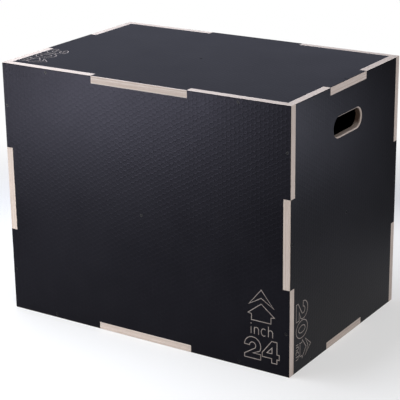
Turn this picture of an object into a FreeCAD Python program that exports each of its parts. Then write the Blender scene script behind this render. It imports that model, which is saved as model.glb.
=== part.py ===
import FreeCAD, Part
import os
from math import cos, pi, sin

# A plyometric jump box: six finger-jointed boards of film-faced plywood round a half-lapped
# pair of braces, held by countersunk wood screws. It stands on its base with +Z up, its front
# faces -Y, and the origin is at the middle of the base. All lengths are in millimetres.

# Overall size: the three edges are the three heights that the box can stand at
box_length = 762.0
box_depth = 508.0
box_height = 609.6
edge_round = 2.0

# Boards: a plywood core with a film on each face, both films inside the board's thickness
board_thickness = 18.0
film_thickness = 0.5

# Finger joints: the middle finger's part of every edge, and the gap at each flank of a finger
finger_share = 1 / 3
finger_clearance = 0.2

# Hand slots, one in each end board
slot_length = 130.0
slot_height = 45.0
slot_below_top = 97.5
slot_rim_bevel = 3.0
rim_bevel_limit_share = 0.45

# Braces: cut from film-faced board too, each slotted part of the way for the other
brace_thickness = 18.0
lap_clearance = 0.2
lap_share = 0.5

# Countersunk wood screws, with flat sides in place of round ones
screw_length = 40.0
shank_diameter = 4.0
head_diameter = 7.5
head_height = 2.2
point_length = 6.0
head_sink = 0.3
screw_clearance = 0.1
screw_sides = 8

# How far cutting shapes run past the faces that they cut
overrun = 5.0

vector = FreeCAD.Vector
X = vector(1, 0, 0)
Y = vector(0, 1, 0)
Z = vector(0, 0, 1)


def face_placement(middle, across, up):
    """Frame of a face: local x and y run across and up the face, local z points out of it."""
    outward = across.cross(up)
    return FreeCAD.Placement(middle, FreeCAD.Rotation(across, up, outward, "XYZ"))


def placed(shape, placement):
    """Copy of a shape, moved from its local frame to its place."""
    copy = shape.copy()
    copy.Placement = placement.multiply(copy.Placement)
    return copy


def block(half_x, half_y, low_z, high_z):
    """Box centred on the local z axis."""
    return Part.makeBox(2 * half_x, 2 * half_y, high_z - low_z, vector(-half_x, -half_y, low_z))


def flat_face(points):
    """Flat face inside a closed ring of points."""
    return Part.Face(Part.makePolygon(points + points[:1]))


# Finger-jointed boards


class EdgePair:
    """Two opposite edges of a board: either the middle third or the two end thirds are fingers
    that reach the outside of the box, and the rest stops short by the next board's thickness."""

    def __init__(self, half_reach, half_run, middle_is_finger):
        short = half_reach - board_thickness
        gap = finger_clearance / 2
        self.half_reach = half_reach
        self.half_finger = half_run * finger_share
        self.middle_is_finger = middle_is_finger
        self.middle = half_reach if middle_is_finger else short
        self.ends = short if middle_is_finger else half_reach
        self.half_step = self.half_finger - gap if middle_is_finger else self.half_finger + gap

    def screw_steps(self, corner):
        """Places along the edge of the screws, one at the middle of each finger."""
        if self.middle_is_finger:
            return [0]
        step = (self.half_finger + corner) / 2
        return [-step, step]


class Board:
    """One face of the box: its place, its finger-jointed outline and its screws."""

    def __init__(self, name, middle, across, up, half_across, half_up, side_middles, end_middles):
        self.name = name
        self.placement = face_placement(middle, across, up)
        self.sides = EdgePair(half_across, half_up, side_middles)
        self.ends = EdgePair(half_up, half_across, end_middles)

    def outline(self):
        """Points round the outer face: a quarter of the outline, mirrored into all four corners."""
        quarter = [
            (self.sides.middle, self.sides.half_step),
            (self.sides.ends, self.sides.half_step),
            (self.sides.ends, self.ends.ends),
            (self.ends.half_step, self.ends.ends),
            (self.ends.half_step, self.ends.middle),
        ]
        points = []
        for mirror_x, mirror_y, walk in ((1, 1, 1), (-1, 1, -1), (-1, -1, 1), (1, -1, -1)):
            points += [vector(mirror_x * x, mirror_y * y, 0) for x, y in quarter[::walk]]
        return points

    def blank(self):
        """The whole board, films and core together, in its local frame."""
        return flat_face(self.outline()).extrude(vector(0, 0, -board_thickness))

    def screw_seats(self):
        """Places of the screws: one per finger, over the middle of the next board's edge, and one
        at the middle of the face, over the edge of a brace."""
        inset = board_thickness / 2
        places = [vector(0, 0, 0)]
        for side in (-1, 1):
            for step in self.sides.screw_steps(self.ends.ends):
                places.append(vector(side * (self.sides.half_reach - inset), step, 0))
            for step in self.ends.screw_steps(self.sides.ends):
                places.append(vector(step, side * (self.ends.half_reach - inset), 0))
        upright = FreeCAD.Rotation()
        return [self.placement.multiply(FreeCAD.Placement(place, upright)) for place in places]


def make_boards():
    """The six boards: front and back own the corners, top and bottom have only middle fingers,
    and the end boards between them have some of each."""
    half_x = box_length / 2
    half_y = box_depth / 2
    half_z = box_height / 2
    middle = vector(0, 0, half_z)
    return [
        Board("front", middle - Y * half_y, X, Z, half_x, half_z, False, False),
        Board("back", middle + Y * half_y, -X, Z, half_x, half_z, False, False),
        Board("left", middle - X * half_x, -Y, Z, half_y, half_z, True, False),
        Board("right", middle + X * half_x, Y, Z, half_y, half_z, True, False),
        Board("top", middle + Z * half_z, X, Y, half_x, half_y, True, True),
        Board("bottom", middle - Z * half_z, -X, Y, half_x, half_y, True, True),
    ]


def rounded_envelope():
    """The assembled box with all its outer arrises sanded round."""
    envelope = block(box_length / 2, box_depth / 2, 0, box_height)
    return envelope.makeFillet(edge_round, envelope.Edges)


# Hand slot


def slot_tool():
    """Round-ended slot through an end board, in the board's local frame."""
    end_radius = slot_height / 2
    low = vector(0, -end_radius, 0)
    high = vector(0, end_radius, 0)
    end_centre = X * (slot_length / 2 - end_radius)
    end_tip = X * (slot_length / 2)
    outline = Part.Wire([
        Part.LineSegment(low - end_centre, low + end_centre).toShape(),
        Part.Arc(low + end_centre, end_tip, high + end_centre).toShape(),
        Part.LineSegment(high + end_centre, high - end_centre).toShape(),
        Part.Arc(high - end_centre, -end_tip, low - end_centre).toShape(),
    ])
    outline.translate(vector(0, box_height / 2 - slot_below_top, overrun))
    return Part.Face(outline).extrude(vector(0, 0, -board_thickness - 2 * overrun))


def with_hand_slot(blank):
    """An end board with its slot, and both rims of the slot bevelled for the fingers."""
    tool = slot_tool()
    slotted = blank.cut(tool)
    near_slot = tool.BoundBox
    near_slot.enlarge(overrun)
    around = [edge for edge in slotted.Edges if near_slot.isInside(edge.BoundBox)]
    rims = [edge for edge in around if edge.BoundBox.ZLength < film_thickness]
    bevel = min(slot_rim_bevel, board_thickness * rim_bevel_limit_share)
    return slotted.makeChamfer(bevel, rims)


# Screws


def screw_solid(growth, rise):
    """Screw along local -z, its head sunk below the face. Growth widens it all over, and rise
    carries the cone of its head on upwards, for the countersunk hole that it sits in."""
    head_radius = head_diameter / 2
    shank_radius = shank_diameter / 2
    flare = (head_radius - shank_radius) / head_height
    tip = -head_sink - screw_length
    levels = [
        (head_radius + growth + flare * rise, rise - head_sink),
        (shank_radius + growth, -head_sink - head_height),
        (shank_radius + growth, tip + point_length),
    ]
    turns = [2 * pi * (side + 0.5) / screw_sides for side in range(screw_sides)]
    rings = [[vector(r * cos(a), r * sin(a), z) for a in turns] for r, z in levels]
    point = vector(0, 0, tip - growth)
    faces = [flat_face(rings[0])]
    for side in range(screw_sides):
        following = (side + 1) % screw_sides
        for upper, lower in zip(rings, rings[1:]):
            faces.append(flat_face([lower[side], lower[following], upper[following], upper[side]]))
        faces.append(flat_face([point, rings[-1][following], rings[-1][side]]))
    return Part.Solid(Part.Shell(faces))


def drill(solid, holes):
    """A board with every screw hole that reaches it."""
    return solid.cut([hole for hole in holes if hole.BoundBox.intersect(solid.BoundBox)])


# Braces


def mid_brace_blank():
    """Board across the inside at half height, slotted from the front for the upright brace."""
    half_x = box_length / 2 - board_thickness
    half_y = box_depth / 2 - board_thickness
    half_slot = brace_thickness / 2 + lap_clearance
    slot_end = -half_y + 2 * half_y * lap_share + lap_clearance / 2
    board = block(half_x, half_y, -brace_thickness / 2, brace_thickness / 2)
    slot = Part.makeBox(
        2 * half_slot,
        slot_end + half_y + overrun,
        brace_thickness + 2 * overrun,
        vector(-half_slot, -half_y - overrun, -brace_thickness / 2 - overrun),
    )
    return board.cut(slot)


def cross_brace_blank():
    """Upright board across the depth, slotted from the back for the brace at half height.
    Local x runs back along the depth, local y is up, and local z is along the box's length."""
    half_x = box_depth / 2 - board_thickness
    half_y = box_height / 2 - board_thickness
    half_slot = brace_thickness / 2 + lap_clearance
    slot_end = -half_x + 2 * half_x * lap_share - lap_clearance / 2
    board = block(half_x, half_y, -brace_thickness / 2, brace_thickness / 2)
    slot = Part.makeBox(
        half_x + overrun - slot_end,
        2 * half_slot,
        brace_thickness + 2 * overrun,
        vector(slot_end, -half_slot, -brace_thickness / 2 - overrun),
    )
    return board.cut(slot)


# Films and cores


def layers(solid, placement, high, low):
    """A board split along its local z into its upper film, its core and its lower film."""
    reach = box_length + box_depth + box_height
    levels = [high, high - film_thickness, low + film_thickness, low]
    slabs = [block(reach, reach, bottom, top) for top, bottom in zip(levels, levels[1:])]
    return [solid.common(placed(slab, placement)) for slab in slabs]


def save(name, shape):
    shape.exportStep(os.path.join("parts", name + ".step"))


def main():
    os.makedirs("parts", exist_ok=True)
    boards = make_boards()
    screw = screw_solid(0, 0)
    hole = screw_solid(screw_clearance, head_sink + overrun)

    holes = []
    for board in boards:
        seats = board.screw_seats()
        holes += [placed(hole, seat) for seat in seats]
        save(board.name + "_screws", Part.makeCompound([placed(screw, seat) for seat in seats]))

    envelope = rounded_envelope()
    for board in boards:
        blank = board.blank()
        if board.name in ("left", "right"):
            blank = with_hand_slot(blank)
        solid = drill(placed(blank, board.placement).common(envelope), holes)
        outer, core, inner = layers(solid, board.placement, 0, -board_thickness)
        save(board.name + "_grip_film", outer)
        save(board.name + "_panel", core)
        save(board.name + "_inner_film", inner)

    middle = vector(0, 0, box_height / 2)
    half_brace = brace_thickness / 2
    braces = [
        ("mid_brace", mid_brace_blank(), face_placement(middle, X, Y), "upper", "lower"),
        ("cross_brace", cross_brace_blank(), face_placement(middle, Y, Z), "right", "left"),
    ]
    for name, blank, placement, high_side, low_side in braces:
        solid = drill(placed(blank, placement), holes)
        high_film, core, low_film = layers(solid, placement, half_brace, -half_brace)
        save(f"{name}_{high_side}_film", high_film)
        save(name, core)
        save(f"{name}_{low_side}_film", low_film)


main()
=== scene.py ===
"""Looks of a plyometric jump box: boards of film-faced plywood, finger-jointed and screwed, with
the standing height engraved into the film of three faces, on a white floor."""
from math import cos, pi, radians, sin, sqrt

import bmesh
import bpy
from mathutils import Matrix, Vector
from mathutils.geometry import tessellate_polygon


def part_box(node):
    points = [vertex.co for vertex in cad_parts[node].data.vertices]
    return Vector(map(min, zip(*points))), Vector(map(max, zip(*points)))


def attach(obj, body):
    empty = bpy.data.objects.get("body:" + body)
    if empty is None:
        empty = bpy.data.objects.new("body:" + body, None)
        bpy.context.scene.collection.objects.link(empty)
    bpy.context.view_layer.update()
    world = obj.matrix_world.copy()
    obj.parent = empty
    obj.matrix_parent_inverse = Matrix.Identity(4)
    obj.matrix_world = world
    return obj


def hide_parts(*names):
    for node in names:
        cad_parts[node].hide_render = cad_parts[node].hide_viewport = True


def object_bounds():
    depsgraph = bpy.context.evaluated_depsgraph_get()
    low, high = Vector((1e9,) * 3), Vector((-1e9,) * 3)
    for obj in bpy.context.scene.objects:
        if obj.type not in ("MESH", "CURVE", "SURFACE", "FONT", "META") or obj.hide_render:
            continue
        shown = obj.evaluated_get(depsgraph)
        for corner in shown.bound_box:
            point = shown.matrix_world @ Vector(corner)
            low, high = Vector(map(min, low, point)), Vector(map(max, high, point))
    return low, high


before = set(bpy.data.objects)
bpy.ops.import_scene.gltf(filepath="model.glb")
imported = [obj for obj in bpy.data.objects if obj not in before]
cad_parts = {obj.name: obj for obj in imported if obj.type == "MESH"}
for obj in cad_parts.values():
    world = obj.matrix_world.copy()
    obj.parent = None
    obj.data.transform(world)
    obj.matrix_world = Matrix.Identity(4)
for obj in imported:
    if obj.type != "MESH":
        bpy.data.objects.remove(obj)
cad_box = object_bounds()

mm = 0.001
X = Vector((1, 0, 0))
Y = Vector((0, 1, 0))
Z = Vector((0, 0, 1))
box_low, box_high = cad_box
box_centre = (box_low + box_high) / 2
box_half = (box_high - box_low) / 2

# Points of a mesh that lie closer than this are one point
weld_distance = 0.001 * mm

# Film: its emboss is a honeycomb of low ridges, each a broad swell with a narrow crest. Both rise
# between two shares of the pitch from a cell's middle, where a half is the cell's rim.
film_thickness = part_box("front_grip_film")[1].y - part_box("front_grip_film")[0].y
film_ior = 1.16
emboss_pitch = 12.0 * mm
emboss_height = 0.35 * mm
emboss_strength = 0.21
swell_shares = (0.24, 0.48)
crest_shares = (0.42, 0.47)

# Plywood: its plies, its fibres' width as a share of their length, and how much of them is fine
board_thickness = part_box("front_inner_film")[1].y - box_low.y
ply_count = 7
fibre_width_share = 0.035
fine_fibre_share = 0.6

# Fine relief of the materials
fibre_height = 0.12 * mm
streak_height = 0.1 * mm
skin_height = 0.05 * mm
resin_height = 0.04 * mm
phosphate_height = 0.03 * mm

# Hand slots with their bevelled rims. Painted shade darkens the walls between two depths, and the
# sill
# only in part: its share grows to the whole between two heights, counted from the slot's middle.
slot_length = 137.0 * mm
slot_height = 52.0 * mm
slot_below_top = 97.5 * mm
shade_start = 3.0 * mm
shade_full = 8.0 * mm
shade_scatter = 3.0 * mm
shade_least_share = 0.05
shade_most_share = 0.96
sill_low = -0.43 * slot_height
sill_high = -0.2 * slot_height
sill_shade_share = 0.35

# Engraved marks: the cutter's line, and how far cuts run past the film
line_width = 1.8 * mm
line_depth = 0.25 * mm
cut_overrun = 0.4 * mm
arc_step = radians(12)
mitre_limit = 0.35

# Height marks: digits on a common baseline, the arrow and the unit
digit_width = 41.0 * mm
digit_height = 51.0 * mm
digit_gap = 1.6 * line_width
arrow_width = 66.0 * mm
arrow_height = 74.0 * mm
unit_width = 59.0 * mm
unit_height = 25.0 * mm

# Stacked mark: gaps below the unit and below the arrow, and how far right both start
unit_gap = 8.0 * mm
arrow_gap = 7.5 * mm
unit_inset = 13.0 * mm
arrow_inset = 9.0 * mm

# Row mark: how much smaller the unit and the arrow are, and where they are beside the number
row_size_share = 0.65
row_gap = 9.0 * mm
row_unit_inset = 2.0 * mm
row_arrow_up = 18.0 * mm

# Where each mark's baseline starts: from the left edge, and from the top or the low edge of its face
front_mark_right = 649.0 * mm
front_mark_down = 584.0 * mm
right_mark_right = 28.0 * mm
right_mark_down = 449.0 * mm
top_mark_right = 22.0 * mm
top_mark_up = 168.0 * mm

# Wood screws
head_radius = 3.4 * mm
head_rim = 0.12 * mm
head_depth = 2.1 * mm
shank_radius = 1.6 * mm
plain_shank = 9.0 * mm
thread_root = 1.2 * mm
thread_crest = 1.84 * mm
thread_pitch = 1.9 * mm
thread_lap = 0.5 * mm
point_length = 6.0 * mm
recess_reach = 2.1 * mm
recess_half_width = 0.5 * mm
recess_depth = 1.3 * mm
recess_taper_share = 0.55
head_sides = 32
thread_sides = 12
thread_profile_shares = ((0.0, 0.0), (0.35, 0.0), (0.5, 1.0), (0.65, 0.0))

# Screw holes: the round one, and how the walls of the flat-sided one are found, by their reach from
# the screw's axis and a limit on the cosine between their normals and the face's
hole_radius = 3.55 * mm
seat_reach = 4.5 * mm
wall_cosine = 0.9

# Digits of a metre by which the screws of a face are put in order
sort_digits = 4

# Camera, fitted to the photograph's view
camera_azimuth = radians(33.0)
camera_elevation = radians(19.01)
camera_roll = radians(-0.80)
camera_right = -10.4 * mm
camera_up = 251.3 * mm
camera_back = 3525.0 * mm
focal_pixels = 1445.6
image_pixels = 400.0
sensor_width_mm = 36.0

# Floor, in metres: white near the object and in the wedge that the camera looks along, and grey
# elsewhere. In the wedge the white comes in part from itself near the object, and wholly behind it.
floor_reach = 12.0
floor_drop = 0.2 * mm
near_white_share = 0.5
near_reach = 0.65
near_end = 1.0
wedge_tail = -1.2
wedge_front = -0.7
wedge_start = 0.6
wedge_full = 1.5
wedge_half_width = 0.47
wedge_edge = 0.72
wedge_spread = 0.145

# World light
world_colour = (0.90, 0.92, 1.0, 1)
world_strength = 0.19


class Face:
    """One side of the box: across and up run along it, outward points out of it, and its matrix
    carries local points, with z out of the face, to their place."""

    def __init__(self, name, across, up):
        self.name = name
        self.across = across
        self.up = up
        self.outward = across.cross(up)
        middle = box_centre + Vector(box_half[i] * self.outward[i] for i in range(3))
        axes = Matrix((across, up, self.outward)).transposed()
        self.matrix = Matrix.Translation(middle) @ axes.to_4x4()


faces = {
    face.name: face
    for face in (
        Face("front", X, Z),
        Face("back", -X, Z),
        Face("left", -Y, Z),
        Face("right", Y, Z),
        Face("top", X, Y),
        Face("bottom", -X, Y),
    )
}


def axis_index(direction):
    """Which of x, y and z a direction along an axis runs along."""
    return max(range(3), key=lambda i: abs(direction[i]))


# Materials


class Surface:
    """A new material with one Principled shader, and short ways to add nodes and link them."""

    # Sockets of the mix node: both inputs and the output of each kind of data
    mix_sockets = {"FLOAT": (2, 3, 0), "VECTOR": (4, 5, 1), "RGBA": (6, 7, 2)}

    def __init__(self, name, specular=0.5, metallic=0.0):
        self.material = bpy.data.materials.new(name)
        self.material.use_nodes = True
        self.tree = self.material.node_tree
        self.shader = self.tree.nodes["Principled BSDF"]
        self.shader.inputs["Specular IOR Level"].default_value = specular
        self.shader.inputs["Metallic"].default_value = metallic
        self.place = self.node("ShaderNodeTexCoord").outputs["Object"]
        self.axes = self.split(self.place)
        self.normal_axes = self.split(self.node("ShaderNodeNewGeometry").outputs["True Normal"])

    def node(self, kind, inputs=None, **settings):
        """A new node with its settings and inputs."""
        made = self.tree.nodes.new(kind)
        for key, value in settings.items():
            setattr(made, key, value)
        for key, value in (inputs or {}).items():
            self.feed(made.inputs[key], value)
        return made

    def feed(self, socket, value):
        """Links an output to the socket, or sets the socket to a plain value."""
        if isinstance(value, bpy.types.NodeSocket):
            self.tree.links.new(value, socket)
        else:
            socket.default_value = value

    def split(self, vector):
        """The three parts of a vector."""
        return self.node("ShaderNodeSeparateXYZ", {"Vector": vector}).outputs

    def math(self, operation, *values):
        """Result of an operation on plain values."""
        return self.node("ShaderNodeMath", dict(enumerate(values)), operation=operation).outputs[0]

    def vector(self, operation, *values, output="Vector"):
        """Result of an operation on vectors."""
        made = self.node("ShaderNodeVectorMath", dict(enumerate(values)), operation=operation)
        return made.outputs[output]

    def step(self, value, low, high, to_low=0.0, to_high=1.0):
        """Smooth step from to_low, where the value is at most low, to to_high at high and above."""
        inputs = {
            "Value": value,
            "From Min": low,
            "From Max": high,
            "To Min": to_low,
            "To Max": to_high,
        }
        made = self.node("ShaderNodeMapRange", inputs, interpolation_type="SMOOTHSTEP")
        return made.outputs["Result"]

    def mix(self, kind, share, first, second):
        """Mix of two values of one kind, from the first at share 0 to the second at share 1."""
        first_socket, second_socket, output = self.mix_sockets[kind]
        inputs = {0: share, first_socket: first, second_socket: second}
        return self.node("ShaderNodeMix", inputs, data_type=kind).outputs[output]

    def blend(self, share, first, second):
        """Mix of two colours."""
        return self.mix("RGBA", share, first, second)

    def noise(self, per_metre, detail=3.0, stretch=(1, 1, 1), offset=(0, 0, 0)):
        """Noise from 0 to 1, with so many features per metre, finer along axes with more stretch."""
        mapping = {"Vector": self.place, "Scale": stretch, "Location": offset}
        place = self.node("ShaderNodeMapping", mapping).outputs["Vector"]
        inputs = {"Vector": place, "Scale": per_metre, "Detail": detail}
        return self.node("ShaderNodeTexNoise", inputs).outputs["Fac"]

    def bump(self, height, distance, strength, under=None):
        """Normal over a relief that is distance high, on top of another bump if one lies under it."""
        inputs = {"Height": height, "Distance": distance, "Strength": strength}
        if under is not None:
            inputs["Normal"] = under
        return self.node("ShaderNodeBump", inputs).outputs["Normal"]

    def finish(self, colour, roughness, normal=None):
        """Feeds the shader and gives back the material."""
        self.feed(self.shader.inputs["Base Color"], colour)
        self.feed(self.shader.inputs["Roughness"], roughness)
        if normal is not None:
            self.feed(self.shader.inputs["Normal"], normal)
        return self.material


def painted_slot_shade(surface, depth):
    """Share of painted shade on the walls of the hand slot: more towards the inside, where shade
    falls, and less on the sill, which the light reaches."""
    along = surface.math("ABSOLUTE", surface.axes[1])
    rise = surface.math("SUBTRACT", surface.axes[2], box_high.z - slot_below_top)
    within_length = surface.math("LESS_THAN", along, slot_length / 2)
    within_height = surface.math("LESS_THAN", surface.math("ABSOLUTE", rise), slot_height / 2)
    within = surface.math("MULTIPLY", within_length, within_height)
    patchy = surface.math("MULTIPLY_ADD", surface.noise(60.0), shade_scatter, depth)
    # Painted shade: brown that grows with depth into the slot
    brown = surface.step(patchy, shade_start, shade_full, shade_least_share, shade_most_share)
    over_sill = surface.step(rise, sill_low, sill_high, sill_shade_share, 1.0)
    brown = surface.math("MULTIPLY", brown, over_sill)
    return surface.math("MULTIPLY", within, brown)


def fibres_along(surface, index):
    """Fine and broad fibres that run along one axis."""
    stretch = [1.0, 1.0, 1.0]
    stretch[index] = fibre_width_share
    fine = surface.noise(900.0, 4.0, stretch)
    broad = surface.noise(160.0, 2.0, stretch, (0.7, 0.2, 0.4))
    fine_part = surface.math("MULTIPLY", fine, fine_fibre_share)
    broad_part = surface.math("MULTIPLY", broad, 1 - fine_fibre_share)
    return surface.math("ADD", fine_part, broad_part)


def plywood(name, across, up, outward, outer, has_slot=False):
    """Bare plywood: plies in turn along and across the board, pale where the cut runs along the
    grain and darker on end grain, with thin glue lines. Outer is where the board's outside lies."""
    dark_fibre = (0.465, 0.38, 0.325, 1)
    pale_fibre = (0.61, 0.535, 0.49, 1)
    end_tone = (0.46, 0.36, 0.29, 1)
    pale_ply = (0.74, 0.67, 0.63, 1)
    glue_tone = (0.30, 0.21, 0.15, 1)
    # Painted shade inside the hand slot
    painted_shade_tone = (0.075, 0.04, 0.023, 1)
    stain_tone = (0.52, 0.42, 0.34, 1)

    surface = Surface(name, specular=0.25)
    from_outer = surface.math("SUBTRACT", surface.axes[axis_index(outward)], outer)
    depth = surface.math("ABSOLUTE", from_outer)
    layer = surface.math("MULTIPLY", depth, ply_count / board_thickness)
    number = surface.math("FLOOR", layer)
    crossed = surface.math("MODULO", number, 2.0)
    grain = []
    end_grain = []
    for index in (axis_index(across), axis_index(up)):
        grain.append(fibres_along(surface, index))
        end_grain.append(surface.math("ABSOLUTE", surface.normal_axes[index]))
    fibres = surface.mix("FLOAT", crossed, *grain)
    ends = surface.mix("FLOAT", crossed, *end_grain)

    colour = surface.blend(surface.step(fibres, 0.3, 0.7), dark_fibre, pale_fibre)
    colour = surface.blend(surface.math("MULTIPLY", ends, 0.55), colour, end_tone)
    by_ply = surface.node("ShaderNodeTexWhiteNoise", {"W": number}, noise_dimensions="1D")
    paler = surface.math("MULTIPLY", by_ply.outputs["Value"], 0.22)
    colour = surface.blend(paler, colour, pale_ply)
    from_middle = surface.math("SUBTRACT", surface.math("FRACT", layer), 0.5)
    glue = surface.step(surface.math("ABSOLUTE", from_middle), 0.40, 0.5, 0.0, 0.6)
    colour = surface.blend(glue, colour, glue_tone)
    # Painted shade that deepens into the hand slot, less on its sill
    if has_slot:
        colour = surface.blend(painted_slot_shade(surface, depth), colour, painted_shade_tone)
    stain = surface.step(surface.noise(9.0, 3.0), 0.5, 0.8, 0.0, 0.18)
    colour = surface.blend(stain, colour, stain_tone)
    rough = surface.math("MULTIPLY_ADD", fibres, 0.2, 0.6)
    return surface.finish(colour, rough, surface.bump(fibres, fibre_height, 0.6))


def bared_wood():
    """Wood tone of an engraved line: greyed and lightly scorched by the cutter."""
    grey = (0.23, 0.195, 0.175, 1)
    pale = (0.42, 0.37, 0.345, 1)
    scorched = (0.14, 0.105, 0.085, 1)
    surface = Surface("bared_wood", specular=0.2)
    streak = surface.noise(500.0, 3.0, (0.3, 1.0, 0.3))
    patch = surface.noise(40.0, 2.0)
    colour = surface.blend(streak, grey, pale)
    scorch = surface.step(patch, 0.5, 0.75, 0.0, 0.35)
    colour = surface.blend(scorch, colour, scorched)
    return surface.finish(colour, 0.8, surface.bump(streak, streak_height, 0.5))


def honeycomb(surface, across, up):
    """Distance from the middle of the nearest cell of a honeycomb, from 0 to a half at its rim. The
    cells' middles are two rectangular grids, one shifted by half a period against the other."""
    half_period = (sqrt(3) / 2, 0.5, 1.0)
    minus_half = tuple(-v for v in half_period)
    grid_shift = (sqrt(3) / 2, 0.5, 0.0)
    flat_place = {
        "X": surface.math("DIVIDE", surface.axes[axis_index(across)], emboss_pitch),
        "Y": surface.math("DIVIDE", surface.axes[axis_index(up)], emboss_pitch),
    }
    place = surface.node("ShaderNodeCombineXYZ", flat_place).outputs["Vector"]
    first = surface.vector("WRAP", place, minus_half, half_period)
    shifted = surface.vector("ADD", place, grid_shift)
    second = surface.vector("WRAP", shifted, minus_half, half_period)
    first_length = surface.vector("LENGTH", first, output="Value")
    second_length = surface.vector("LENGTH", second, output="Value")
    second_nearer = surface.math("LESS_THAN", second_length, first_length)
    nearest = surface.mix("VECTOR", second_nearer, first, second)
    offset = surface.split(surface.vector("ABSOLUTE", nearest))
    half_up = surface.math("MULTIPLY", offset["Y"], 0.5)
    slanted = surface.math("MULTIPLY_ADD", offset["X"], sqrt(3) / 2, half_up)
    return surface.math("MAXIMUM", slanted, offset["Y"])


def grip_film(name, across, up):
    """Near-black film with a honeycomb emboss, a fine skin, faint smears and rubbed ridges."""
    clean = (0.0034, 0.0033, 0.0042, 1)
    smeared = (0.0046, 0.0045, 0.0056, 1)
    rubbed = (0.0085, 0.0083, 0.0100, 1)
    surface = Surface(name)
    surface.shader.inputs["IOR"].default_value = film_ior
    surface.shader.inputs["Specular Tint"].default_value = (0.72, 0.70, 1.0, 1)
    from_middle = honeycomb(surface, across, up)
    swell = surface.step(from_middle, *swell_shares)
    crest = surface.step(from_middle, *crest_shares)
    ridge = surface.math("MULTIPLY", surface.math("ADD", swell, crest), 0.5)
    skin = surface.noise(1400.0, 3.0)
    smear = surface.noise(7.0, 4.0, offset=(0.3, 0.9, 0.1))
    colour = surface.blend(surface.step(smear, 0.35, 0.7), clean, smeared)
    wear = surface.step(surface.noise(30.0, 3.0), 0.45, 0.75, 0.15, 0.6)
    colour = surface.blend(surface.math("MULTIPLY", ridge, wear), colour, rubbed)
    rough = surface.math("MULTIPLY_ADD", smear, 0.08, 0.27)
    rough = surface.math("MULTIPLY_ADD", skin, 0.04, rough)
    normal = surface.bump(skin, skin_height, 0.35)
    normal = surface.bump(ridge, emboss_height, emboss_strength, normal)
    return surface.finish(colour, rough, normal)


def smooth_film():
    """Dark brown film inside the box, smooth but for a faint flow in its resin."""
    surface = Surface("smooth_film", specular=0.3)
    flow = surface.noise(22.0, 4.0, (1.0, 0.3, 1.0))
    colour = surface.blend(flow, (0.009, 0.007, 0.006, 1), (0.019, 0.015, 0.012, 1))
    rough = surface.math("MULTIPLY_ADD", flow, 0.2, 0.3)
    return surface.finish(colour, rough, surface.bump(surface.noise(700.0), resin_height, 0.3))


def black_steel():
    """Black phosphate on steel, worn a little brighter in patches."""
    surface = Surface("black_steel", metallic=1.0)
    patch = surface.noise(900.0, 4.0)
    worn = surface.step(patch, 0.5, 0.75)
    colour = surface.blend(worn, (0.014, 0.014, 0.0155, 1), (0.050, 0.049, 0.048, 1))
    rough = surface.math("MULTIPLY_ADD", patch, 0.25, 0.28)
    return surface.finish(colour, rough, surface.bump(patch, phosphate_height, 0.5))


def paint(node_name, material):
    """Gives a carried-over solid its finish."""
    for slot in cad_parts[node_name].material_slots:
        slot.material = material


# Height marks, as lines in a flat frame with x to the right and y up


def arc(centre, radii, start, end):
    """Points along an elliptical arc, from one angle in degrees to another."""
    count = max(2, round(abs(radians(end - start)) / arc_step))
    turns = [radians(start + (end - start) * i / count) for i in range(count + 1)]
    return [(centre[0] + radii[0] * cos(a), centre[1] + radii[1] * sin(a)) for a in turns]


def ring(centre, radii):
    """Points round an ellipse."""
    return arc(centre, radii, 0, 360)[:-1]


def digit_shares(digit):
    """Outlines of one bold digit, as closed lines in shares of its width and height."""
    bowl = (0.5, 0.6)
    upper = (0.49, 0.715)
    lower = (0.49, 0.305)
    shapes = {
        "0": [ring((0.5, 0.5), (0.5, 0.5)), ring((0.5, 0.5), (0.2, 0.29))],
        "2": [
            [(0, 0), (1, 0), (1, 0.25), (0.52, 0.25)]
            + arc(bowl, (0.5, 0.4), -30, 180)
            + arc(bowl, (0.19, 0.16), 180, -40)
            + [(0, 0.16)]
        ],
        "3": [
            arc(upper, (0.44, 0.285), 170, -32)
            + arc(lower, (0.49, 0.305), 38, -170)
            + arc(lower, (0.18, 0.085), -170, 90)
            + [(0.33, 0.39), (0.33, 0.615)]
            + arc(upper, (0.15, 0.1), -90, 170)
        ],
        "4": [
            [
                (0.02, 0.2), (0.02, 0.39), (0.6, 1), (0.92, 1), (0.92, 0.43), (1.06, 0.43),
                (1.06, 0.2), (0.92, 0.2), (0.92, 0), (0.6, 0), (0.6, 0.2),
            ],
            [(0.62, 0.43), (0.62, 0.7), (0.31, 0.43)],
        ],
    }
    return [(points, True) for points in shapes[digit]]


# The arrow's closed outlines and the unit's open strokes, in shares of their widths and heights
arrow_shares = [
    ([(0.5, 1), (0.97, 0.49), (0.5, 0.74), (0.03, 0.49)], True),
    (
        [
            (0.5, 0.56), (1, 0.21), (0.87, 0.19), (0.87, 0), (0.13, 0), (0.13, 0.19), (0, 0.21),
        ],
        True,
    ),
]
unit_shares = [
    ([(0.06, 0), (0.06, 0.66)], False),
    ([(0.06, 0.90), (0.06, 1)], False),
    ([(0.20, 0), (0.20, 0.66)], False),
    (arc((0.29, 0.46), (0.09, 0.20), 180, 0) + [(0.38, 0)], False),
    (arc((0.60, 0.34), (0.105, 0.34), 50, 310), False),
    ([(0.80, 0), (0.80, 1)], False),
    (arc((0.89, 0.46), (0.09, 0.20), 180, 0) + [(0.98, 0)], False),
]


def scaled(lines, width, height):
    """Lines drawn in shares of a width and a height, at their real size."""
    return [([(x * width, y * height) for x, y in points], closed) for points, closed in lines]


def moved(lines, right, up, scale=1.0):
    """Lines scaled about their origin and then moved."""
    return [
        ([(x * scale + right, y * scale + up) for x, y in points], closed)
        for points, closed in lines
    ]


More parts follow.
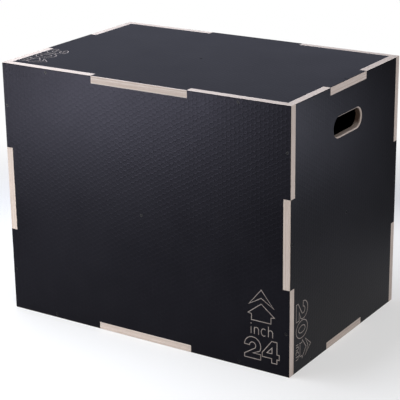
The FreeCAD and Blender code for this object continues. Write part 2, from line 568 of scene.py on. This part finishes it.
def number_lines(number):
    """Outlined digits side by side, from a common baseline."""
    lines = []
    for place, digit in enumerate(number):
        glyph = scaled(digit_shares(digit), digit_width, digit_height)
        lines += moved(glyph, place * (digit_width + digit_gap), 0)
    return lines


unit_lines = scaled(unit_shares, unit_width, unit_height)
arrow_lines = scaled(arrow_shares, arrow_width, arrow_height)


def stacked_mark(number):
    """Mark with the unit and the arrow above the number."""
    unit_up = digit_height + unit_gap
    arrow_up = unit_up + unit_height + arrow_gap
    return (
        number_lines(number)
        + moved(unit_lines, unit_inset, unit_up)
        + moved(arrow_lines, arrow_inset, arrow_up)
    )


def row_mark(number):
    """Mark with the unit and the arrow, both smaller, beside a number of two digits."""
    beside = 2 * digit_width + row_gap
    return (
        number_lines(number)
        + moved(unit_lines, beside + row_unit_inset, 0, row_size_share)
        + moved(arrow_lines, beside, row_arrow_up, row_size_share)
    )


def turned(lines, start, quarter_turns):
    """Lines turned clockwise by quarter turns about their origin, then moved to start."""
    turn = Matrix.Rotation(-quarter_turns * pi / 2, 2)
    return [([Vector(start) + turn @ Vector(p) for p in points], closed) for points, closed in lines]


front_mark_start = (front_mark_right - box_half.x, box_half.z - front_mark_down)
right_mark_start = (right_mark_right - box_half.y, box_half.z - right_mark_down)
top_mark_start = (top_mark_right - box_half.x, top_mark_up - box_half.y)
marks = {
    "front": turned(stacked_mark("24"), front_mark_start, 0),
    "right": turned(row_mark("20"), right_mark_start, 1),
    "top": turned(row_mark("30"), top_mark_start, 1),
}


# Engraved films


def new_object(name, mesh_builder, *materials):
    """Object from a bmesh, which it frees."""
    bmesh.ops.recalc_face_normals(mesh_builder, faces=mesh_builder.faces)
    mesh = bpy.data.meshes.new(name)
    mesh_builder.to_mesh(mesh)
    mesh_builder.free()
    for material in materials:
        mesh.materials.append(material)
    made = bpy.data.objects.new(name, mesh)
    bpy.context.scene.collection.objects.link(made)
    return made


def dress(piece, node_name):
    """Puts a piece in the place of the solid that it stands for."""
    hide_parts(node_name)
    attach(piece, "root")


def node_mesh(node_name):
    """A bmesh copy of a carried-over solid, with its points welded."""
    mesh = bmesh.new()
    mesh.from_mesh(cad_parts[node_name].data)
    bmesh.ops.remove_doubles(mesh, verts=mesh.verts, dist=weld_distance)
    return mesh


def fill_openings(mesh):
    """Closes every opening of a bmesh with one face."""
    rims = [edge for edge in mesh.edges if edge.is_boundary]
    bmesh.ops.holes_fill(mesh, edges=rims, sides=0)


def sideways(points, closed, reach):
    """The line's points moved sideways by reach, with mitred corners."""
    shifted = []
    last = len(points) - 1
    for i, point in enumerate(points):
        before = points[i - 1] if closed or i > 0 else None
        after = points[(i + 1) % len(points)] if closed or i < last else None
        walks = []
        if before is not None:
            walks.append((point - before).normalized())
        if after is not None:
            walks.append((after - point).normalized())
        middle = sum(walks, Vector((0, 0))).normalized()
        side = Vector((-middle.y, middle.x))
        shifted.append(point + side * (reach / max(middle.dot(walks[0]), mitre_limit)))
    return shifted


def add_ribbon(mesh, face, points, closed):
    """Adds to a bmesh the closed prism that a square cutter sweeps along a line on a face. Its faces
    have the second material, that of the line."""
    top = cut_overrun
    bottom = -line_depth
    left = sideways(points, closed, line_width / 2)
    right = sideways(points, closed, -line_width / 2)
    rows = []
    for a, b in zip(left, right):
        corners = [(a, top), (b, top), (b, bottom), (a, bottom)]
        rows.append([mesh.verts.new(face.matrix @ Vector((p.x, p.y, z))) for p, z in corners])
    following_rows = rows[1:] + rows[:1] if closed else rows[1:]
    for row, following in zip(rows, following_rows):
        for i in range(4):
            j = (i + 1) % 4
            mesh.faces.new((row[i], row[j], following[j], following[i])).material_index = 1
    if not closed:
        mesh.faces.new(rows[0][::-1]).material_index = 1
        mesh.faces.new(rows[-1]).material_index = 1


def add_hole(mesh, face, seat):
    """Adds to a bmesh the round cutter of one screw hole."""
    depth = film_thickness + 2 * cut_overrun
    place = face.matrix @ Matrix.Translation((seat.x, seat.y, cut_overrun - depth / 2))
    bmesh.ops.create_cone(
        mesh, cap_ends=True, segments=head_sides, radius1=hole_radius, radius2=hole_radius,
        depth=depth, matrix=place,
    )


def close_screw_holes(mesh, face, seats):
    """Fills the flat-sided screw holes of a film, so that round ones can be cut."""
    to_local = face.matrix.inverted()
    walls = []
    for side in mesh.faces:
        middle = (to_local @ side.calc_center_median()).xy
        steep = abs(side.normal.dot(face.outward)) < wall_cosine
        if steep and any((middle - seat.xy).length < seat_reach for seat in seats):
            walls.append(side)
    bmesh.ops.delete(mesh, geom=walls, context="FACES")
    fill_openings(mesh)


def cut_away(piece, cutter):
    """Cuts the cutter out of the piece's mesh, and removes the cutter."""
    cutting = piece.modifiers.new("engrave", "BOOLEAN")
    cutting.operation = "DIFFERENCE"
    cutting.solver = "EXACT"
    cutting.use_self = True
    cutting.material_mode = "INDEX"
    cutting.object = cutter
    bpy.context.view_layer.update()
    cut = piece.evaluated_get(bpy.context.evaluated_depsgraph_get())
    engraved = bpy.data.meshes.new_from_object(cut)
    piece.modifiers.clear()
    piece.data = engraved
    piece.data.name = piece.name
    bpy.data.objects.remove(cutter)


def engraved_film(face, seats, film_material, line_material):
    """The face's film with round screw holes, and with the lines of its mark cut part of the way
    through it."""
    node_name = face.name + "_grip_film"
    blank = node_mesh(node_name)
    close_screw_holes(blank, face, seats)
    film = new_object(face.name + "_engraved_film", blank, film_material, line_material)
    cuts = bmesh.new()
    for seat in seats:
        add_hole(cuts, face, seat)
    for points, closed in marks.get(face.name, []):
        add_ribbon(cuts, face, points, closed)
    cut_away(film, new_object(face.name + "_cuts", cuts, film_material, line_material))
    dress(film, node_name)


# Screws


def islands(mesh):
    """The sets of points of a bmesh that edges join."""
    waiting = set(mesh.verts)
    while waiting:
        island = {waiting.pop()}
        reached = list(island)
        while reached:
            vert = reached.pop()
            for edge in vert.link_edges:
                other = edge.other_vert(vert)
                if other not in island:
                    island.add(other)
                    reached.append(other)
        waiting -= island
        yield island


def screw_seats(face):
    """The face's screws, each as the local x and y of its axis, the level of its head and its
    length. Each screw is one island of its node's mesh."""
    solid = node_mesh(face.name + "_screws")
    to_local = face.matrix.inverted()
    seats = []
    for island in islands(solid):
        points = [to_local @ vert.co for vert in island]
        tip = min(points, key=lambda p: p.z)
        head = max(p.z for p in points)
        seats.append(Vector((tip.x, tip.y, head, head - tip.z)))
    solid.free()
    return sorted(seats, key=lambda s: (round(s.y, sort_digits), round(s.x, sort_digits)))


def circle(mesh, radius, z):
    """Ring of new points about the z axis."""
    turns = [2 * pi * i / head_sides for i in range(head_sides)]
    return [mesh.verts.new((radius * cos(a), radius * sin(a), z)) for a in turns]


def recess_ring(mesh, share, z):
    """Ring of new points round the driver's cross, at a share of its full size."""
    reach = recess_reach * share
    half = recess_half_width * share
    points = []
    for i in range(4):
        spin = Matrix.Rotation(i * pi / 2, 2)
        points += [spin @ Vector(corner) for corner in ((reach, -half), (reach, half), (half, half))]
    return [mesh.verts.new((p.x, p.y, z)) for p in points]


def bridge(mesh, upper, lower):
    """Faces between two rings of points."""
    for i in range(len(upper)):
        j = (i + 1) % len(upper)
        mesh.faces.new((upper[i], lower[i], lower[j], upper[j]))


def add_head(mesh):
    """Adds a countersunk head with a cross recess, and the plain shank below it."""
    rim = circle(mesh, head_radius - head_rim, 0)
    mouth = recess_ring(mesh, 1.0, 0)
    corners = rim + mouth
    for triangle in tessellate_polygon([[v.co for v in rim], [v.co for v in mouth]]):
        mesh.faces.new([corners[i] for i in triangle])
    floor = recess_ring(mesh, recess_taper_share, -recess_depth)
    bridge(mesh, mouth, floor)
    mesh.faces.new(floor)
    edge = circle(mesh, head_radius, -head_rim)
    neck = circle(mesh, shank_radius, -head_depth)
    collar = circle(mesh, shank_radius, -plain_shank)
    for upper, lower in ((rim, edge), (edge, neck), (neck, collar)):
        bridge(mesh, upper, lower)
    mesh.faces.new(collar)


def thread_column(mesh, turn, start, run):
    """New points down one column of the thread, after a number of turns: the coil's profile over one
    pitch, which fades in at the start of its run and narrows to the point at the end."""
    angle = 2 * pi * turn
    column = []
    for along_share, crest_share in thread_profile_shares:
        down = min(run, max(0.0, thread_pitch * (turn - 1 + along_share)))
        crest = crest_share * min(1.0, down / thread_pitch)
        radius = thread_root + (thread_crest - thread_root) * crest
        radius *= min(1.0, (run - down) / point_length)
        column.append(mesh.verts.new((radius * cos(angle), radius * sin(angle), -start - down)))
    return column


def add_thread(mesh, length):
    """Adds the threaded core, which starts inside the shank: a coil of root and crest. Columns of
    points run round and down it, and each joins the next one and the one a turn later."""
    start = plain_shank - thread_lap
    run = length - start
    steps = (int(run / thread_pitch) + 2) * thread_sides
    columns = [thread_column(mesh, i / thread_sides, start, run) for i in range(steps + 1)]
    for i in range(steps):
        column, following = columns[i : i + 2]
        for upper, lower, next_lower, next_upper in zip(column, column[1:], following[1:], following):
            mesh.faces.new((upper, lower, next_lower, next_upper))
        if i + thread_sides < steps:
            below, next_below = columns[i + thread_sides : i + thread_sides + 2]
            mesh.faces.new((column[-1], below[0], next_below[0], following[-1]))
    coil = [vert for column in columns for vert in column]
    bmesh.ops.remove_doubles(mesh, verts=coil, dist=weld_distance)
    fill_openings(mesh)


def wood_screw(length):
    """Mesh of one screw along -z, with the top of its head at the origin."""
    builder = bmesh.new()
    add_head(builder)
    add_thread(builder, length)
    screw = bpy.data.meshes.new("wood_screw")
    builder.to_mesh(screw)
    builder.free()
    return screw


def dressed_screws(face, seats, material):
    """All the screws of a face as one piece, each turned to where its driver left it."""
    mesh = bmesh.new()
    screw = wood_screw(seats[0].w)
    golden_turn = pi * (3 - sqrt(5))
    for i, seat in enumerate(seats):
        before = len(mesh.verts)
        mesh.from_mesh(screw)
        mesh.verts.ensure_lookup_table()
        turn = Matrix.Rotation(i * golden_turn, 4, "Z")
        place = face.matrix @ Matrix.Translation(seat.xyz) @ turn
        bmesh.ops.transform(mesh, matrix=place, verts=mesh.verts[before:])
    bpy.data.meshes.remove(screw)
    piece = new_object(face.name + "_wood_screws", mesh, material)
    dress(piece, face.name + "_screws")


# Stage


def floor_zones(surface):
    """Shares of the floor that lie near the object, in the wedge that the camera looks along, and
    behind the object."""
    away = (-sin(camera_azimuth), cos(camera_azimuth), 0)
    aside = (cos(camera_azimuth), sin(camera_azimuth), 0)
    distance = surface.vector("LENGTH", surface.place, output="Value")
    beyond = surface.vector("DOT_PRODUCT", surface.place, away, output="Value")
    beside = surface.vector("DOT_PRODUCT", surface.place, aside, output="Value")
    off_axis = surface.math("ABSOLUTE", beside)
    past_edge = surface.math("MULTIPLY_ADD", beyond, -wedge_spread, off_axis)
    in_width = surface.step(past_edge, wedge_half_width, wedge_edge, 1.0, 0.0)
    past_tail = surface.step(beyond, wedge_tail, wedge_front)
    near = surface.step(distance, near_reach, near_end, 1.0, 0.0)
    in_wedge = surface.math("MULTIPLY", in_width, past_tail)
    behind = surface.step(beyond, wedge_start, wedge_full)
    return near, in_wedge, behind


def floor_glow(surface, near, in_wedge, behind):
    """How much of the floor's white comes from itself, for the rays that show the floor."""
    near_glow = surface.math("MULTIPLY", near, near_white_share)
    glow = surface.math("MAXIMUM", near_glow, behind)
    glow = surface.math("MULTIPLY", glow, in_wedge)
    path = surface.node("ShaderNodeLightPath").outputs
    seen = surface.math("MAXIMUM", path["Is Camera Ray"], path["Is Glossy Ray"])
    seen = surface.math("MAXIMUM", seen, path["Is Transmission Ray"])
    return surface.math("MULTIPLY", glow, seen)


def floor_material():
    """White and grey zones, with a share of the white that comes from the floor itself."""
    grey = (0.42, 0.41, 0.40, 1)
    surface = Surface("floor", specular=0.0)
    mottle = surface.noise(3.0, 3.0)
    white = surface.blend(mottle, (0.955, 0.925, 0.89, 1), (0.975, 0.945, 0.91, 1))
    near, in_wedge, behind = floor_zones(surface)
    colour = surface.blend(surface.math("MAXIMUM", near, in_wedge), grey, white)
    glow = floor_glow(surface, near, in_wedge, behind)
    surface.feed(surface.shader.inputs["Emission Color"], (1, 1, 1, 1))
    surface.feed(surface.shader.inputs["Emission Strength"], glow)
    colour = surface.blend(glow, colour, (0, 0, 0, 1))
    return surface.finish(colour, 0.9)


def add_floor():
    """Floor just below the object, which keeps the object's shadow."""
    mesh = bmesh.new()
    corners = [
        (x * floor_reach, y * floor_reach, box_low.z - floor_drop)
        for x, y in ((-1, -1), (1, -1), (1, 1), (-1, 1))
    ]
    mesh.faces.new([mesh.verts.new(corner) for corner in corners])
    floor = new_object("floor", mesh, floor_material())


def add_softbox(name, place, aim, size, power, spread, colour=(1, 1, 1)):
    """Rectangular lamp behind a grid that narrows its light to a spread in degrees."""
    lamp = bpy.data.lights.new(name, "AREA")
    lamp.shape = "RECTANGLE"
    lamp.size, lamp.size_y = size
    lamp.energy = power
    lamp.spread = radians(spread)
    lamp.color = colour
    made = bpy.data.objects.new(name, lamp)
    made.location = place
    made.rotation_mode = "QUATERNION"
    made.rotation_quaternion = (Vector(aim) - Vector(place)).to_track_quat("-Z", "Y")
    made.visible_camera = False
    bpy.context.scene.collection.objects.link(made)


def add_lights():
    """An even world and five softboxes, with places and sizes in metres and power in watts."""
    world = bpy.data.worlds.new("studio")
    bpy.context.scene.world = world
    world.use_nodes = True
    background = world.node_tree.nodes["Background"]
    background.inputs["Color"].default_value = world_colour
    background.inputs["Strength"].default_value = world_strength
    add_softbox(
        "key", place=(-1.12, -1.75, 0.17), aim=(-0.1, -0.25, 0.36),
        size=(0.8, 0.28), power=4.3, spread=64,
    )
    add_softbox(
        "overhead", place=(-0.5, -0.25, 2.2), aim=(-0.5, -0.25, 0),
        size=(1.2, 1.2), power=24.0, spread=110, colour=(0.83, 0.89, 1.0),
    )
    add_softbox(
        "back", place=(-2.0, 3.0, 1.2), aim=(0, 0, 0.5),
        size=(3.0, 2.0), power=7.6, spread=180, colour=(0.72, 0.74, 1.0),
    )
    add_softbox(
        "side", place=(2.2, -0.6, 1.1), aim=(0.4, 0, 0.42),
        size=(1.0, 0.6), power=2.8, spread=60,
    )
    add_softbox(
        "rim", place=(1.5, 1.0, 0.15), aim=(0.38, -0.2, 0.52),
        size=(0.5, 0.2), power=0.54, spread=50, colour=(0.85, 0.88, 1.0),
    )


def add_camera():
    """Camera at its azimuth, elevation and roll, set off from the frame's origin in its own axes."""
    right = Vector((cos(camera_azimuth), sin(camera_azimuth), 0))
    back = Vector(
        (
            sin(camera_azimuth) * cos(camera_elevation),
            -cos(camera_azimuth) * cos(camera_elevation),
            sin(camera_elevation),
        )
    )
    up = back.cross(right)
    rolled_right = cos(camera_roll) * right + sin(camera_roll) * up
    rolled_up = cos(camera_roll) * up - sin(camera_roll) * right
    lens = bpy.data.cameras.new("camera")
    lens.sensor_width = sensor_width_mm
    lens.lens = focal_pixels / image_pixels * sensor_width_mm
    camera = bpy.data.objects.new("camera", lens)
    place = rolled_right * camera_right + rolled_up * camera_up + back * camera_back
    axes = Matrix((rolled_right, rolled_up, back)).transposed()
    camera.matrix_world = Matrix.Translation(place) @ axes.to_4x4()
    bpy.context.scene.collection.objects.link(camera)
    bpy.context.scene.camera = camera


# Assembly


def dress_face(face, inner, bared, steel):
    """One board's core and inner film, its engraved outer film and its screws."""
    outer = face.matrix.translation[axis_index(face.outward)]
    has_slot = face.name in ("left", "right")
    wood = plywood(face.name + "_plywood", face.across, face.up, face.outward, outer, has_slot)
    paint(face.name + "_panel", wood)
    paint(face.name + "_inner_film", inner)
    seats = screw_seats(face)
    film = grip_film(face.name + "_grip_film", face.across, face.up)
    engraved_film(face, seats, film, bared)
    dressed_screws(face, seats, steel)


def dress_brace(name, across, up, sides, outer, inner):
    """One brace's core and its two films. Outer is where one of its outsides lies."""
    paint(name, plywood(name + "_plywood", across, up, across.cross(up), outer))
    for side in sides:
        paint(f"{name}_{side}_film", inner)


def dress_object():
    """The six boards with their screws, and the two braces."""
    steel = black_steel()
    inner = smooth_film()
    bared = bared_wood()
    for face in faces.values():
        dress_face(face, inner, bared, steel)
    mid_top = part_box("mid_brace_upper_film")[1].z
    cross_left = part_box("cross_brace_left_film")[0].x
    dress_brace("mid_brace", X, Y, ("upper", "lower"), mid_top, inner)
    dress_brace("cross_brace", Y, Z, ("left", "right"), cross_left, inner)


dress_object()
add_floor()
add_lights()
add_camera()
bpy.context.scene.view_settings.view_transform = "Standard"
